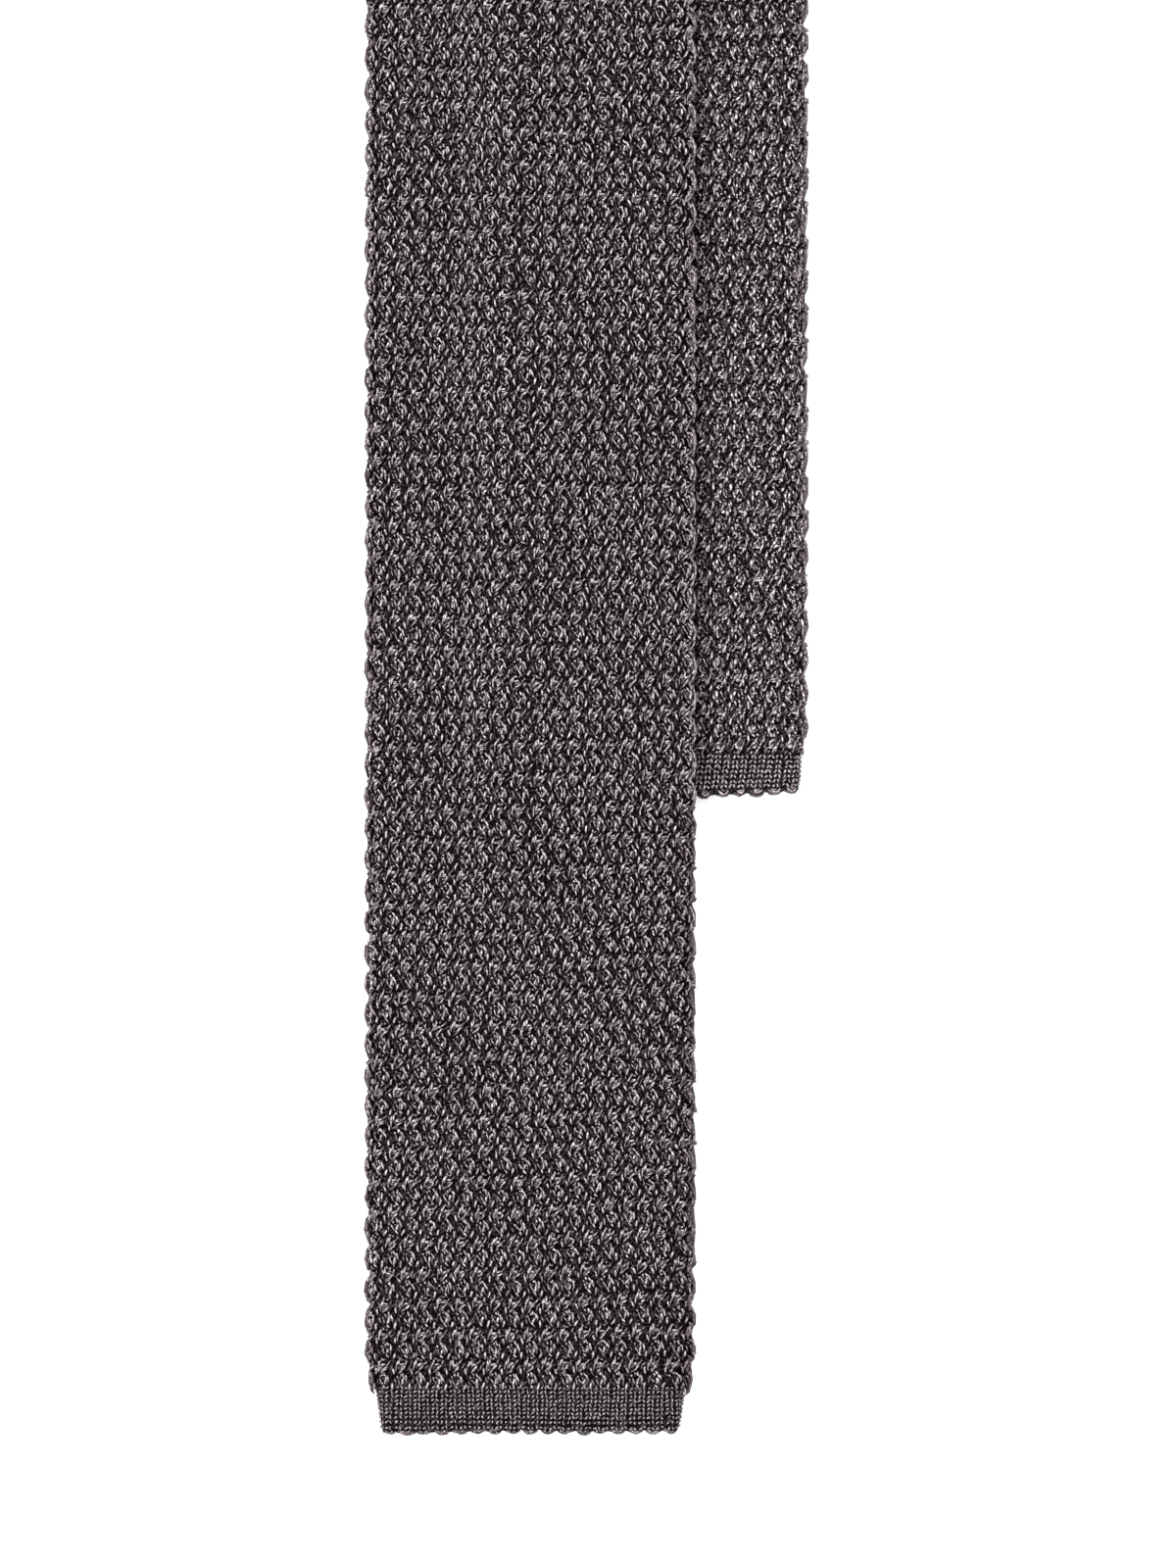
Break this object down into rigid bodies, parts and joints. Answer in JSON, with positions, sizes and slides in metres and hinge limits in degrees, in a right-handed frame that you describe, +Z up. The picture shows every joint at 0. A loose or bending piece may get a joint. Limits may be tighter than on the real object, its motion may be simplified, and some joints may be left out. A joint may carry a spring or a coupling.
{
  "type": "knit tie",
  "caption": "Long knitted necktie, a flattened tube of textured knit with plain scalloped hems, folded once at the neck and laid flat.",
  "frame": {"origin": "middle of the folded tie's footprint, on the surface it lies on", "axes": "+Y up the tie from the blade's end to the fold at the neck, +X towards the tail that shows beside the blade, +Z up from the surface, out of the blade's face"},
  "size_m": [0.0804, 0.7828, 0.0152],
  "materials": {
    "textured_knit": "bobbled silk knit in two marled greys, light taupe plies over dark charcoal gaps, soft sheen",
    "plain_knit": "fine plain silk knit in the same marled greys, with a scalloped edge"
  },
  "bodies": {
    "root": {"blade": "textured_knit", "blade_hem": "plain_knit", "neck_band": "textured_knit", "tail": "textured_knit", "tail_hem": "plain_knit"}
  },
  "joints": []
}
